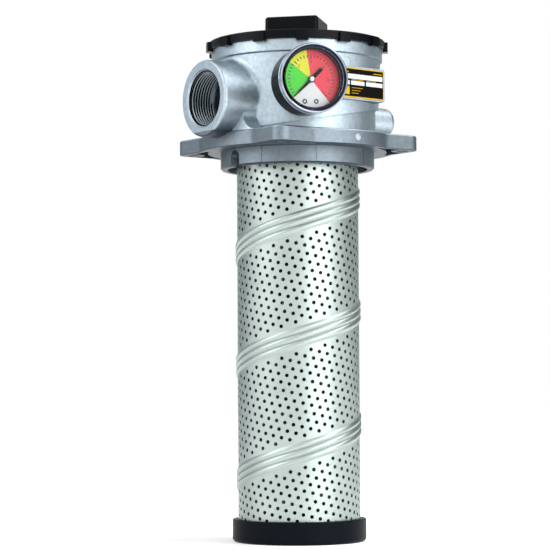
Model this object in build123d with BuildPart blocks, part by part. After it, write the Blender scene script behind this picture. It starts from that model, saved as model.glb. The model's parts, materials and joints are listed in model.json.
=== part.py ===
from build123d import *
import os
from math import cos, pi, radians, sin, sqrt, tan

# Tank-top return line filter: cast head, screw cover, clogging gauge and in-to-out element.
# Millimetres. Z is up, and the origin is the centre of the flange's mounting face.
# Oil enters the port at -X, drops into the element and leaves through pleats and sleeve.

os.makedirs("parts", exist_ok=True)

# ---- driving dimensions ----

# head casting
flange_disc_radius = 75.5
flange_half = 67.9  # half the side of the square that gives the four lugs
flange_blend = 15.0  # round between the disc and each lug, in plan
flange_height = 11.5
lug_corner = 9.0
lug_wall = 3.5  # wall left round the pockets under the lugs
lug_pocket_depth = 7.5
seal_face_radius = 69.0
bolt_offset = 57.5  # each bolt hole's distance from the axis, along X and along Y
bolt_hole_radius = 4.5
bolt_boss_radius = 8.5
waist_radius = 60.5
drum_foot_radius = 61.5  # at the mounting face, from where the wall leans out
drum_top_radius = 65.0
shoulder_height = 24.5
shoulder_tilt = 9.8  # degrees; the shoulder rises away from the port
collar_radius = 66.0
collar_base = 69.6
collar_chamfer = 1.0
head_top = 79.0
ledge_radius = 52.2
ledge_height = 8.0  # the element hangs from this ledge
chamber_radius = 55.8
cover_bore_radius = 57.3
cover_bore_base = 62.3
spigot_radius = 59.3
spigot_bore_radius = 54.0
spigot_length = 13.0
notch_width = 10.5
notch_top = -1.0
notch_corner = 5.2
rib_angles = (205.0, 248.0, 292.0)  # casting marks down the spigot

# inlet port, G 1 1/4
port_face = 88.0
port_height = 36.3
port_radius = 29.0
port_edge = 2.0
neck_blend = 5.0  # fillet between the neck and the drum
neck_root = 10.0  # fillet between the neck and the flange
neck_root_end = 74.5
step_clearance = 35.0  # the shoulder stops at this radius round the neck
port_thread_radius = 20.955
port_thread_depth = 23.0
port_bore_radius = 18.6

# blank boss opposite the port
boss_radius = 11.8
boss_height = 29.5
boss_end = 90.2
boss_round = 5.0

# name plate and its pad
plate_angle = 273.0  # direction that the pad faces
plate_distance = 66.2  # of the pad's face from the axis
plate_shift = 8.0  # along the face, to the right
plate_width = 44.0
plate_height = 22.3
plate_centre_z = 47.5
plate_thickness = 0.5
plate_margin = 1.4

# clogging gauge
gauge_angle = 251.0  # direction that the dial faces
gauge_back = 65.95  # of the case's back from the head's axis, along that direction
gauge_shift = -17.06  # sideways, seen from the front
gauge_height = 45.1
gauge_case_radius = 25.0
gauge_case_depth = 23.5
gauge_wall = 2.0
gauge_length = 29.0
bezel_radius = 26.0
bezel_depth = 6.8
bezel_opening = 22.6
lens_thickness = 1.6
dial_face = 20.0  # of the dial's face from the case's back
dial_thickness = 0.8
dial_radius = 22.4
hex_across_flats = 14.0
hex_seat = -4.5  # spot face in the head, measured from the case's back
gauge_thread_radius = 4.86
spot_radius = 9.4
gauge_pad_radius = 12.0
gauge_pad_end = -1.5
pointer_rest = 225.0  # degrees on the dial at no pressure
pointer_length = 19.0
pointer_tail = 11.2
pointer_tail_width = 2.6
pointer_eye_radius = 2.6
pointer_hub_radius = 2.1

# screw cover
rim_radius = 68.5
rim_base = 79.3
rim_height = 6.5
lobe_radius = 70.5
lobe_inner_radius = 66.6
lobe_width = 9.0
lobe_count = 13
lobe_start = 15.0
lobe_base = 77.3
skirt_radius = 57.0
skirt_inner_radius = 53.0
skirt_base = 64.3
cover_wall = 3.5
grip_side = 42.0
grip_angle = 41.0
grip_top = 103.8
grip_corner = 3.0
cover_seal_inner = 54.7
cover_seal_base = 73.7
cover_seal_height = 3.0
seal_play = 0.05

# element
sleeve_radius = 46.8
sleeve_wall = 0.6
sleeve_bottom = -291.0
seam_pitch = 86.5
seam_phase_angle = 323.0  # the seam's middle passes this direction ...
seam_phase_height = -121.3  # ... at this height
seam_spacing = 5.0
seam_ridge_width = 4.4
seam_ridge_height = 1.4
seam_crown = 0.8  # half the width of each ridge's top
end_cap_radius = 51.2
end_cap_top = -280.6
end_cap_bottom = -298.0
end_cap_edge = 3.0
cap_flange_radius = 54.9
cap_flange_base = 10.0
cap_flange_thickness = 3.0
cap_skirt_radius = 48.7
cap_skirt_depth = 8.0
cap_mouth_radius = 29.0
media_radius = 45.6
media_core_radius = 34.0
media_paper = 1.2
pleat_count = 48

# hold-down spring between cover and element
hold_coil_radius = 35.0
hold_wire_radius = 1.5
hold_turns = 3.5
hold_seat_inner = 31.0

# bypass valve in the bottom cap
valve_hub_radius = 26.0
valve_recess_radius = 17.0
valve_seat_face = -288.0
valve_hub_top = -282.0
valve_hole_radius = 10.0
poppet_radius = 13.0
poppet_thickness = 2.0
spindle_radius = 2.5
spindle_play = 0.05
spindle_top = -249.0
bridge_base = -274.0
bridge_thickness = 2.5
bridge_radius = 15.0
bridge_leg_width = 5.0
bypass_coil_radius = 7.5
bypass_wire_radius = 0.9
bypass_turns = 4
retainer_radius = 9.5
retainer_thickness = 2.5

# ---- places worked out from them ----

low = (Align.CENTER, Align.CENTER, Align.MIN)
seal_top = cover_seal_base + cover_seal_height
cap_flange_top = cap_flange_base + cap_flange_thickness
cover_ceiling = rim_base + rim_height - cover_wall

shoulder_plane = Plane(
    origin=(0, 0, shoulder_height), z_dir=(-tan(radians(shoulder_tilt)), 0, 1)
)

gauge_out = Vector(cos(radians(gauge_angle)), sin(radians(gauge_angle)), 0)
gauge_right = Vector(-gauge_out.Y, gauge_out.X, 0)
gauge_plane = Plane(
    origin=gauge_out * gauge_back + gauge_right * gauge_shift + Vector(0, 0, gauge_height),
    x_dir=gauge_right,
    z_dir=gauge_out,
)

plate_out = Vector(cos(radians(plate_angle)), sin(radians(plate_angle)), 0)
plate_right = Vector(-plate_out.Y, plate_out.X, 0)
plate_plane = Plane(
    origin=plate_out * plate_distance + plate_right * plate_shift + Vector(0, 0, plate_centre_z),
    x_dir=plate_right,
    z_dir=plate_out,
)


def at(height):
    """A horizontal plane at this height."""
    return Plane.XY.offset(height)


def write(part, label):
    """Name a finished piece and write it."""
    part.label = label
    export_step(part, f"parts/{label}.step")


# ---- head ----

with BuildSketch() as flange_plan:
    Circle(flange_disc_radius)
    RectangleRounded(2 * flange_half, 2 * flange_half, lug_corner)
    # where the disc runs into the lugs; the disc's own seam lies on the X axis
    inner_corners = [
        v for v in flange_plan.vertices()
        if abs(Vector(v).length - flange_disc_radius) < 0.1 and abs(v.Y) > 1
    ]
    fillet(inner_corners, flange_blend)

neck_plane = Plane.YZ.offset(-port_face)

with BuildPart() as shoulder_cut:
    with BuildSketch():
        Circle(flange_disc_radius)
        Circle(waist_radius, mode=Mode.SUBTRACT)
    extrude(amount=collar_base)
    split(bisect_by=shoulder_plane, keep=Keep.BOTTOM)
    with BuildSketch(neck_plane):
        with Locations((0, port_height)):
            Circle(step_clearance)
    extrude(amount=port_face, mode=Mode.SUBTRACT)

with BuildPart() as drum:
    Cone(drum_foot_radius, drum_top_radius, head_top, align=low)
    with BuildSketch(neck_plane):
        with Locations((0, port_height)):
            Circle(port_radius)
    extrude(amount=port_face - chamber_radius)
    fillet(drum.edges().filter_by(GeomType.BSPLINE), neck_blend)
    fillet(drum.edges().group_by(Axis.X)[0], port_edge)
    add(shoulder_cut.part, mode=Mode.SUBTRACT)

with BuildPart() as neck_saddle:
    # the fillet's centre lies neck_root above the flange and clear of the neck's circle
    drop = port_height - flange_height - neck_root
    reach = sqrt((port_radius + neck_root) ** 2 - drop**2)
    blend_share = port_radius / (port_radius + neck_root)
    on_neck = (reach * blend_share, port_height - drop * blend_share)
    on_flange = (reach, flange_height)
    with BuildSketch(neck_plane.offset(port_face - neck_root_end)):
        with BuildLine():
            RadiusArc(on_flange, on_neck, neck_root)
            Line(on_neck, (0, on_neck[1]))
            Line((0, on_neck[1]), (0, flange_height / 2))
            Line((0, flange_height / 2), (reach, flange_height / 2))
            Line((reach, flange_height / 2), on_flange)
        make_face()
        mirror(about=Plane.YZ)
    extrude(amount=neck_root_end - chamber_radius)
    with BuildSketch():
        Circle(neck_root_end)
    extrude(amount=port_height, mode=Mode.INTERSECT)

with BuildPart() as blank_boss:
    with BuildSketch(Plane.YZ.offset(boss_end)):
        with Locations((0, boss_height)):
            Circle(boss_radius)
    extrude(amount=-(boss_end - chamber_radius))
    fillet(blank_boss.edges().group_by(Axis.X)[-1], boss_round)

with BuildPart() as collar:
    with BuildSketch(at(collar_base)):
        Circle(collar_radius)
    extrude(amount=head_top - collar_base)
    chamfer(collar.edges().group_by(Axis.Z)[0], collar_chamfer)

with BuildPart() as casting:
    extrude(flange_plan.sketch, amount=flange_height)
    fillet(casting.faces().sort_by(Axis.Z)[-1].edges(), 1.5)
    fillet(casting.faces().sort_by(Axis.Z)[0].edges(), 0.8)
    with BuildSketch(at(-spigot_length)):
        Circle(spigot_radius)
    extrude(amount=spigot_length)
    chamfer(casting.faces().sort_by(Axis.Z)[0].edges(), 1.2)
    for angle in rib_angles:
        with BuildSketch(at(1.5 - spigot_length)):
            with PolarLocations(spigot_radius - 0.5, 1, start_angle=angle):
                Rectangle(2.0, 2.6)
        extrude(amount=spigot_length - 1.5)
    Cylinder(waist_radius, head_top, align=low)
    add(drum.part)
    add(neck_saddle.part)
    add(blank_boss.part)
    add(collar.part)

    # pads for the gauge and the name plate
    with BuildSketch(gauge_plane.offset(gauge_pad_end)):
        Circle(gauge_pad_radius)
    extrude(amount=-9)
    with BuildSketch(plate_plane):
        RectangleRounded(plate_width + 2 * plate_margin, plate_height + 2 * plate_margin, 2)
    extrude(amount=-13)

    # bores from the mouth down
    with BuildSketch(at(cover_bore_base)):
        Circle(cover_bore_radius)
    extrude(amount=head_top, mode=Mode.SUBTRACT)
    with BuildSketch(at(ledge_height)):
        Circle(chamber_radius)
    extrude(amount=head_top, mode=Mode.SUBTRACT)
    with BuildSketch(at(-spigot_length)):
        Circle(ledge_radius)
    extrude(amount=head_top, mode=Mode.SUBTRACT)
    with BuildSketch(at(-spigot_length)):
        Circle(spigot_bore_radius)
    extrude(amount=spigot_length, mode=Mode.SUBTRACT)

    # inlet
    with BuildSketch(Plane.YZ.offset(-port_face)):
        with Locations((0, port_height)):
            Circle(port_thread_radius)
    extrude(amount=port_thread_depth, mode=Mode.SUBTRACT)
    with BuildSketch(Plane.YZ.offset(-port_face)):
        with Locations((0, port_height)):
            Circle(port_bore_radius)
    extrude(amount=port_face - chamber_radius + 8, mode=Mode.SUBTRACT)
    mouth_edges = casting.edges().filter_by(GeomType.CIRCLE).group_by(Axis.X)[0]
    chamfer(mouth_edges.sort_by(SortBy.RADIUS)[0], 1.2)

    # gauge port: spot face and thread
    with BuildSketch(gauge_plane.offset(hex_seat - 1.0)):
        Circle(spot_radius)
    extrude(amount=8, mode=Mode.SUBTRACT)
    with BuildSketch(gauge_plane.offset(hex_seat)):
        Circle(gauge_thread_radius)
    extrude(amount=-12, mode=Mode.SUBTRACT)

    # vent notch across the spigot on the port's side
    with BuildSketch(Plane.YZ.offset(-spigot_radius - 3)):
        with Locations((0, -spigot_length)):
            Rectangle(notch_width, 2 * (spigot_length + notch_top))
        fillet(vertices().group_by(Axis.Z)[-1], notch_corner)
    extrude(amount=10, mode=Mode.SUBTRACT)

    # pockets under the lugs, each with a boss round its bolt hole
    with BuildSketch():
        add(flange_plan.sketch)
        offset(amount=-lug_wall, mode=Mode.REPLACE)
        Circle(seal_face_radius, mode=Mode.SUBTRACT)
        with GridLocations(2 * bolt_offset, 2 * bolt_offset, 2, 2):
            Circle(bolt_boss_radius, mode=Mode.SUBTRACT)
        Rectangle(4 * flange_half, 2 * port_radius, mode=Mode.SUBTRACT)
        Rectangle(2 * port_radius, 4 * flange_half, mode=Mode.SUBTRACT)
    extrude(amount=lug_pocket_depth, mode=Mode.SUBTRACT)
    with GridLocations(2 * bolt_offset, 2 * bolt_offset, 2, 2):
        Cylinder(bolt_hole_radius, 4 * flange_height, mode=Mode.SUBTRACT)

# the casting is written as three solids that meet at plain faces, so that each
# keeps a simple shape: flange and spigot, threaded end of the neck, and the rest
with BuildPart() as mounting_flange:
    add(casting.part)
    split(bisect_by=at(flange_height), keep=Keep.BOTTOM)
write(mounting_flange.part, "mounting_flange")

with BuildPart() as neck_block:
    with BuildSketch(at(flange_height)):
        with Locations((-port_face, 0)):
            Rectangle(2 * port_thread_depth, 4 * port_radius)
    extrude(amount=collar_base - flange_height)

with BuildPart() as inlet_neck:
    add(casting.part)
    add(neck_block.part, mode=Mode.INTERSECT)
write(inlet_neck.part, "inlet_neck")

with BuildPart() as head:
    add(casting.part)
    split(bisect_by=at(flange_height), keep=Keep.TOP)
    add(neck_block.part, mode=Mode.SUBTRACT)
write(head.part, "head")

# ---- cover ----

with BuildPart() as cover:
    with BuildSketch(at(rim_base)):
        Circle(rim_radius)
    extrude(amount=rim_height)
    fillet(cover.edges().group_by(Axis.Z)[-1], 1.5)
    with BuildSketch(at(lobe_base)):
        with PolarLocations(lobe_radius, lobe_count, start_angle=lobe_start):
            Rectangle(14, lobe_width)
        Circle(lobe_radius, mode=Mode.INTERSECT)
        Circle(lobe_inner_radius, mode=Mode.SUBTRACT)
    extrude(amount=rim_base + rim_height - lobe_base - 1.0)
    with BuildSketch(at(rim_base + rim_height)):
        Rectangle(grip_side, grip_side, rotation=grip_angle)
        fillet(vertices(), grip_corner)
    extrude(amount=grip_top - rim_base - rim_height, taper=1)
    chamfer(cover.faces().sort_by(Axis.Z)[-1].edges(), 1.2)
    with BuildSketch(at(skirt_base)):
        Circle(skirt_radius)
    extrude(amount=rim_base - skirt_base)
    chamfer(cover.faces().sort_by(Axis.Z)[0].edges(), 1.0)
    with BuildSketch(at(skirt_base)):
        Circle(skirt_inner_radius)
    extrude(amount=cover_ceiling - skirt_base, mode=Mode.SUBTRACT)
    with BuildSketch(at(cover_ceiling)):
        Rectangle(grip_side - 2 * cover_wall, grip_side - 2 * cover_wall, rotation=grip_angle)
        fillet(vertices(), 1.5)
    extrude(amount=grip_top - cover_wall - cover_ceiling, mode=Mode.SUBTRACT)
    with BuildSketch(at(cover_ceiling - 6)):
        Circle(hold_coil_radius - hold_wire_radius - 0.8)
        Circle(hold_seat_inner - 1.5, mode=Mode.SUBTRACT)
    extrude(amount=6)
    with BuildSketch(at(cover_seal_base - seal_play)):
        Circle(skirt_radius + 1)
        Circle(cover_seal_inner - seal_play, mode=Mode.SUBTRACT)
    extrude(amount=cover_seal_height + 2 * seal_play, mode=Mode.SUBTRACT)
write(cover.part, "cover")

with BuildPart() as cover_seal:
    with BuildSketch(at(cover_seal_base)):
        Circle(cover_bore_radius - seal_play)
        Circle(cover_seal_inner, mode=Mode.SUBTRACT)
    extrude(amount=cover_seal_height)
    chamfer(cover_seal.edges().filter_by(GeomType.CIRCLE), 0.6)
write(cover_seal.part, "cover_seal")

with BuildPart() as hold_down_spring:
    hold_bottom = cap_flange_top + hold_wire_radius
    hold_length = cover_ceiling - hold_wire_radius - hold_bottom
    with BuildLine() as hold_path:
        Helix(hold_length / hold_turns, hold_length, hold_coil_radius, center=(0, 0, hold_bottom))
    with BuildSketch(Plane(origin=hold_path.line @ 0, z_dir=hold_path.line % 0)):
        Rectangle(2 * hold_wire_radius - 0.1, 2 * hold_wire_radius - 0.1)
    sweep(path=hold_path.line, is_frenet=True)
write(hold_down_spring.part, "hold_down_spring")

# ---- element ----

with BuildPart() as element_top_cap:
    with BuildSketch(at(cap_flange_base)):
        Circle(cap_flange_radius)
        Circle(cap_mouth_radius, mode=Mode.SUBTRACT)
    extrude(amount=cap_flange_thickness)
    chamfer(element_top_cap.edges().group_by(Axis.Z)[-1].sort_by(SortBy.RADIUS)[-1], 1)
    with BuildSketch(at(cap_flange_base - cap_skirt_depth)):
        Circle(cap_skirt_radius)
        Circle(sleeve_radius, mode=Mode.SUBTRACT)
        Circle(cap_mouth_radius + 2)
        Circle(cap_mouth_radius, mode=Mode.SUBTRACT)
    extrude(amount=cap_skirt_depth)
    with BuildSketch(at(cap_flange_top)):
        Circle(hold_coil_radius - hold_wire_radius - 0.5)
        Circle(hold_seat_inner, mode=Mode.SUBTRACT)
    extrude(amount=2)
write(element_top_cap.part, "element_top_cap")

with BuildPart() as element_seal:
    with BuildSketch(at(ledge_height)):
        Circle(cap_flange_radius)
        Circle(ledge_radius + 0.3, mode=Mode.SUBTRACT)
    extrude(amount=cap_flange_base - ledge_height)
write(element_seal.part, "element_seal")

with BuildPart() as seam:
    seam_turns = 5
    seam_start = seam_phase_height - seam_pitch * (seam_phase_angle / 360 + 2)
    with BuildLine() as seam_path:
        Helix(seam_pitch, seam_pitch * seam_turns, sleeve_radius, center=(0, 0, seam_start))
    foot = sleeve_wall / 2
    half = seam_ridge_width / 2
    for middle in (-seam_spacing, 0, seam_spacing):
        with BuildSketch(Plane(origin=seam_path.line @ 0, x_dir=(1, 0, 0), z_dir=seam_path.line % 0)):
            with BuildLine():
                Polyline(
                    (-foot, middle - half), (seam_ridge_height, middle - seam_crown),
                    (seam_ridge_height, middle + seam_crown), (-foot, middle + half), close=True,
                )
            make_face()
        sweep(path=seam_path.line, is_frenet=True)
    split(bisect_by=at(end_cap_top), keep=Keep.TOP)
    split(bisect_by=at(cap_flange_base - cap_skirt_depth), keep=Keep.BOTTOM)

with BuildPart() as sleeve:
    with BuildSketch(at(sleeve_bottom)):
        Circle(sleeve_radius)
        Circle(sleeve_radius - sleeve_wall, mode=Mode.SUBTRACT)
    extrude(amount=cap_flange_base - sleeve_bottom)
    add(seam.part)
write(sleeve.part, "sleeve")


def pleat_outline(outer, inner):
    """Corners of a pleated ring, folds out and in by turns."""
    half = pi / pleat_count
    radii = (outer, inner)
    return [(radii[i % 2] * cos(i * half), radii[i % 2] * sin(i * half)) for i in range(2 * pleat_count)]


with BuildPart() as pleated_media:
    with BuildSketch(at(sleeve_bottom)):
        with BuildLine():
            Polyline(*pleat_outline(media_radius, media_core_radius + media_paper), close=True)
        make_face()
        with BuildLine():
            inner_outline = pleat_outline(media_radius - 2 * media_paper, media_core_radius - media_paper)
            Polyline(*inner_outline, close=True)
        make_face(mode=Mode.SUBTRACT)
    extrude(amount=cap_flange_base - sleeve_bottom)
write(pleated_media.part, "pleated_media")

with BuildPart() as bottom_cap:
    with BuildSketch(at(end_cap_bottom)):
        Circle(end_cap_radius)
    extrude(amount=end_cap_top - end_cap_bottom)
    fillet(bottom_cap.edges().group_by(Axis.Z)[0], end_cap_edge)
    chamfer(bottom_cap.edges().group_by(Axis.Z)[-1], 0.6)
    with BuildSketch(at(sleeve_bottom)):
        Circle(sleeve_radius)
        Circle(valve_hub_radius, mode=Mode.SUBTRACT)
    extrude(amount=end_cap_top - sleeve_bottom, mode=Mode.SUBTRACT)
    with BuildSketch(at(valve_hub_top)):
        Circle(valve_hub_radius + 1)
    extrude(amount=10, mode=Mode.SUBTRACT)
    with BuildSketch(at(end_cap_bottom)):
        Circle(valve_recess_radius)
    extrude(amount=valve_seat_face - end_cap_bottom, mode=Mode.SUBTRACT)
    with BuildSketch(at(end_cap_bottom)):
        Circle(valve_hole_radius)
    extrude(amount=30, mode=Mode.SUBTRACT)
write(bottom_cap.part, "bottom_cap")

# ---- bypass valve ----

with BuildPart() as bypass_bridge:
    with BuildSketch(at(bridge_base)):
        Circle(bridge_radius)
        Circle(spindle_radius + spindle_play, mode=Mode.SUBTRACT)
    extrude(amount=bridge_thickness)
    with BuildSketch(at(valve_hub_top)):
        with PolarLocations(bridge_radius - 1.5, 3, start_angle=90):
            Rectangle(3, bridge_leg_width * 2)
        Circle(bridge_radius, mode=Mode.INTERSECT)
    extrude(amount=bridge_base - valve_hub_top)
    with BuildSketch(at(valve_hub_top)):
        Circle(bridge_radius + 4)
        Circle(valve_hole_radius + 1, mode=Mode.SUBTRACT)
    extrude(amount=1.5)
write(bypass_bridge.part, "bypass_bridge")

with BuildPart() as bypass_poppet:
    with BuildSketch(at(valve_seat_face - poppet_thickness)):
        Circle(poppet_radius)
    extrude(amount=poppet_thickness - 0.02)
    chamfer(bypass_poppet.edges().group_by(Axis.Z)[0], 0.6)
    with BuildSketch(at(valve_seat_face - poppet_thickness)):
        Circle(spindle_radius)
    extrude(amount=spindle_top - valve_seat_face + poppet_thickness)
    chamfer(bypass_poppet.edges().group_by(Axis.Z)[-1], 0.5)
write(bypass_poppet.part, "bypass_poppet")

with BuildPart() as bypass_retainer:
    with BuildSketch(at(spindle_top - 1 - retainer_thickness)):
        Circle(retainer_radius)
        Circle(spindle_radius, mode=Mode.SUBTRACT)
    extrude(amount=retainer_thickness)
write(bypass_retainer.part, "bypass_retainer")

with BuildPart() as bypass_spring:
    bypass_bottom = bridge_base + bridge_thickness + bypass_wire_radius
    bypass_length = spindle_top - 1 - retainer_thickness - bypass_wire_radius - bypass_bottom
    with BuildLine() as bypass_path:
        Helix(bypass_length / bypass_turns, bypass_length, bypass_coil_radius, center=(0, 0, bypass_bottom))
    with BuildSketch(Plane(origin=bypass_path.line @ 0, z_dir=bypass_path.line % 0)):
        Rectangle(2 * bypass_wire_radius - 0.1, 2 * bypass_wire_radius - 0.1)
    sweep(path=bypass_path.line, is_frenet=True)
write(bypass_spring.part, "bypass_spring")

# ---- gauge, measured outwards from the case's back ----

bezel_start = gauge_length - bezel_depth
lens_base = gauge_length - 1.4 - lens_thickness

with BuildPart() as gauge_case:
    with BuildSketch(gauge_plane):
        Circle(gauge_case_radius)
    extrude(amount=gauge_case_depth)
    fillet(gauge_case.faces().sort_by(Axis(gauge_plane.origin, gauge_out))[0].edges(), 2)
    with BuildSketch(gauge_plane.offset(gauge_wall)):
        Circle(gauge_case_radius - gauge_wall)
    extrude(amount=gauge_length, mode=Mode.SUBTRACT)
    with BuildSketch(gauge_plane):
        Circle(gauge_thread_radius)
    extrude(amount=gauge_wall, mode=Mode.SUBTRACT)
write(gauge_case.part, "gauge_case")

with BuildPart() as gauge_stem:
    with BuildSketch(gauge_plane.offset(hex_seat)):
        RegularPolygon(hex_across_flats / 2, 6, major_radius=False)
    extrude(amount=-hex_seat)
    with BuildSketch(gauge_plane.offset(hex_seat - 6.5)):
        Circle(gauge_thread_radius)
    extrude(amount=6.5)
    with BuildSketch(gauge_plane):
        Circle(gauge_thread_radius)
    extrude(amount=gauge_wall)
    with BuildSketch(gauge_plane.offset(gauge_wall)):
        Rectangle(13, 11)
    extrude(amount=8)
    with BuildSketch(gauge_plane.offset(hex_seat - 6.5)):
        Circle(1.2)
    extrude(amount=12, mode=Mode.SUBTRACT)
write(gauge_stem.part, "gauge_stem")

with BuildPart() as gauge_washer:
    with BuildSketch(gauge_plane.offset(hex_seat - 1.0)):
        Circle(8.0)
        Circle(gauge_thread_radius, mode=Mode.SUBTRACT)
    extrude(amount=1.0)
write(gauge_washer.part, "gauge_washer")

with BuildPart() as gauge_dial:
    with BuildSketch(gauge_plane.offset(dial_face - dial_thickness)):
        Circle(dial_radius)
        Circle(1.4, mode=Mode.SUBTRACT)
    extrude(amount=dial_thickness)
write(gauge_dial.part, "gauge_dial")

with BuildPart() as gauge_ring:
    with BuildSketch(gauge_plane.offset(dial_face)):
        Circle(gauge_case_radius - gauge_wall)
        Circle(bezel_opening - 1.2, mode=Mode.SUBTRACT)
    extrude(amount=lens_base - dial_face)
write(gauge_ring.part, "gauge_ring")

with BuildPart() as gauge_lens:
    with BuildSketch(gauge_plane.offset(lens_base)):
        Circle(gauge_case_radius - 1)
    extrude(amount=lens_thickness)
write(gauge_lens.part, "gauge_lens")

with BuildPart() as gauge_bezel:
    with BuildSketch(gauge_plane.offset(bezel_start)):
        Circle(bezel_radius)
    extrude(amount=bezel_depth)
    fillet(gauge_bezel.faces().sort_by(Axis(gauge_plane.origin, gauge_out))[-1].edges(), 1.6)
    with BuildSketch(gauge_plane.offset(bezel_start)):
        Circle(gauge_case_radius)
    extrude(amount=gauge_case_depth - bezel_start, mode=Mode.SUBTRACT)
    with BuildSketch(gauge_plane.offset(bezel_start)):
        Circle(gauge_case_radius - 1)
    extrude(amount=lens_base + lens_thickness - bezel_start, mode=Mode.SUBTRACT)
    with BuildSketch(gauge_plane.offset(bezel_start)):
        Circle(bezel_opening)
    extrude(amount=bezel_depth, mode=Mode.SUBTRACT)
write(gauge_bezel.part, "gauge_bezel")

with BuildPart() as gauge_arbor:
    with BuildSketch(gauge_plane.offset(gauge_wall + 8.5)):
        Circle(1.0)
    extrude(amount=dial_face + 3.4 - gauge_wall - 8.5)
write(gauge_arbor.part, "gauge_arbor")

needle_dir = gauge_right * cos(radians(pointer_rest)) + Vector(0, 0, sin(radians(pointer_rest)))
needle_plane = Plane(
    origin=gauge_plane.offset(dial_face + 1.2).origin, x_dir=needle_dir, z_dir=gauge_out
)

with BuildPart() as gauge_pointer:
    with BuildSketch(needle_plane):
        with BuildLine():
            Polyline(
                (-pointer_tail, -pointer_tail_width / 2), (0, -pointer_tail_width / 2),
                (pointer_length, -0.3), (pointer_length, 0.3),
                (0, pointer_tail_width / 2), (-pointer_tail, pointer_tail_width / 2), close=True,
            )
        make_face()
        Circle(pointer_eye_radius)
        Circle(1.0, mode=Mode.SUBTRACT)
    extrude(amount=0.5)
write(gauge_pointer.part, "gauge_pointer")

with BuildPart() as pointer_hub:
    with BuildSketch(gauge_plane.offset(dial_face + 1.7)):
        Circle(pointer_hub_radius)
        Circle(1.0, mode=Mode.SUBTRACT)
    extrude(amount=1.5)
write(pointer_hub.part, "pointer_hub")

# ---- name plate ----

with BuildPart() as name_plate:
    with BuildSketch(plate_plane):
        RectangleRounded(plate_width, plate_height, 1.2)
    extrude(amount=plate_thickness)
write(name_plate.part, "name_plate")
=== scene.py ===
import json
from math import atan2, cos, degrees, hypot, pi, radians, sin

import bmesh
import bpy
from mathutils import Matrix, Vector


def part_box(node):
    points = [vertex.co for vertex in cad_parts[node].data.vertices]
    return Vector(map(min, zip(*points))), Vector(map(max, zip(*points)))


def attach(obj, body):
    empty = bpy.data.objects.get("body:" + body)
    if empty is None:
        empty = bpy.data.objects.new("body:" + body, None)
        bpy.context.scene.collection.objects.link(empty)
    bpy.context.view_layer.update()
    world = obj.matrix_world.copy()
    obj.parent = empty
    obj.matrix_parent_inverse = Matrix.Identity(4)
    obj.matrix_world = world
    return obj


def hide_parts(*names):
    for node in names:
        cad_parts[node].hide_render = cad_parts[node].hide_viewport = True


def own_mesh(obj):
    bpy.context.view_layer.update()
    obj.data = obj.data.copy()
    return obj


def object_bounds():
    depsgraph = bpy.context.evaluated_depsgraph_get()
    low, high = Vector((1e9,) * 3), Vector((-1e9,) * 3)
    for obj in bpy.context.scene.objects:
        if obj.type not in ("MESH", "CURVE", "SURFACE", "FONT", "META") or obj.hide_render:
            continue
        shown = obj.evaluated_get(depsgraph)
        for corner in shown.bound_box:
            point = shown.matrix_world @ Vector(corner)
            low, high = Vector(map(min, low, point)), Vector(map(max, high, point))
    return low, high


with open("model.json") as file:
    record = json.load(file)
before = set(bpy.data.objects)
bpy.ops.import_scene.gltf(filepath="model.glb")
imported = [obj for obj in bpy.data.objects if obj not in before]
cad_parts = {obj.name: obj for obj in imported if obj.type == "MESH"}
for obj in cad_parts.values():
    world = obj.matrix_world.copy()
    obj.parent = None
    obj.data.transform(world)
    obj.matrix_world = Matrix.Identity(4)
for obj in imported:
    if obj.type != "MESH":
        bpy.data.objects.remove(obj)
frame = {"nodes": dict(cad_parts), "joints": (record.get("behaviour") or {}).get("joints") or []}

# Return line filter: cast head, screw cover, clogging gauge and perforated element.
# Lengths in the settings are millimetres, turned to metres by mm.

mm = 0.001
nodes = frame["nodes"]
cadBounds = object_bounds()
print("frame loaded:", len(nodes), "nodes")


# small tools

def hexToLinear(code):
    channels = [int(code[i:i + 2], 16) / 255 for i in (1, 3, 5)]
    linear = [c / 12.92 if c <= 0.04045 else ((c + 0.055) / 1.055) ** 2.4 for c in channels]
    return (*linear, 1.0)


def perMm(size):  # texture scale for a feature of this size
    return 1 / (size * mm)


def addNode(tree, kind, settings=None, links=None):
    node = tree.nodes.new(kind)
    for key, value in (settings or {}).items():
        if isinstance(key, int) or key in node.inputs:
            node.inputs[key].default_value = value
        else:
            setattr(node, key, value)
    for key, source in (links or {}).items():
        tree.links.new(source, node.inputs[key])
    return node


def newMaterial(name):
    material = bpy.data.materials.new(name)
    material.use_nodes = True
    tree = material.node_tree
    shader = tree.nodes["Principled BSDF"]
    place = addNode(tree, "ShaderNodeTexCoord").outputs["Object"]
    return material, tree, shader, place


def onlyThis(piece):
    bpy.ops.object.select_all(action="DESELECT")
    piece.select_set(True)
    bpy.context.view_layer.objects.active = piece


def startPiece(name, points, edges=(), faces=()):
    mesh = bpy.data.meshes.new(name)
    mesh.from_pydata([tuple(p) for p in points], edges, faces)
    piece = bpy.data.objects.new(name, mesh)
    bpy.context.collection.objects.link(piece)
    onlyThis(piece)
    return piece


def closedOutline(points):  # the edges that join these points in a ring
    return [(i, (i + 1) % len(points)) for i in range(len(points))]


def lathe(name, profile, steps=96):
    points = [(r * mm, 0, z * mm) for r, z in profile]
    piece = startPiece(name, points, closedOutline(points))
    bpy.ops.object.mode_set(mode="EDIT")
    bpy.ops.mesh.select_all(action="SELECT")
    bpy.ops.mesh.spin(steps=steps, angle=2 * pi, center=(0, 0, 0), axis=(0, 0, 1))
    bpy.ops.mesh.select_all(action="SELECT")
    bpy.ops.mesh.remove_doubles(threshold=0.002 * mm)
    bpy.ops.mesh.normals_make_consistent(inside=False)
    bpy.ops.object.mode_set(mode="OBJECT")
    return piece


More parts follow.
